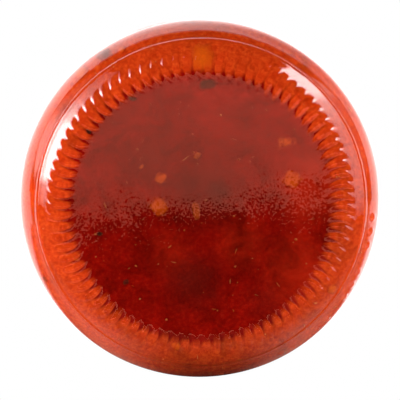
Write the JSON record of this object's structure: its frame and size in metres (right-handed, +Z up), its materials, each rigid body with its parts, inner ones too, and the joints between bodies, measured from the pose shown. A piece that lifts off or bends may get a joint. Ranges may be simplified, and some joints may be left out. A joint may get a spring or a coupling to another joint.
{
  "type": "jar of pasta sauce",
  "caption": "Round clear glass jar of red tomato pasta sauce with a plain twist cap and a knurled bearing ring under its base.",
  "frame": {"origin": "centre of the base, on the plane the jar rests on", "axes": "+Z up the jar's axis, towards the cap"},
  "size_m": [0.087, 0.087, 0.1609],
  "materials": {
    "clear_glass": "clear, polished, with a fine orange peel from the mould",
    "tomato_sauce": "wet, slightly translucent",
    "cap_lacquer": "gold lacquer on tinplate, satin",
    "liner_compound": "soft matte sealing compound"
  },
  "bodies": {
    "root": {"glass_jar": "clear_glass", "sauce": "tomato_sauce", "cap": "cap_lacquer", "liner": "liner_compound"}
  },
  "joints": []
}
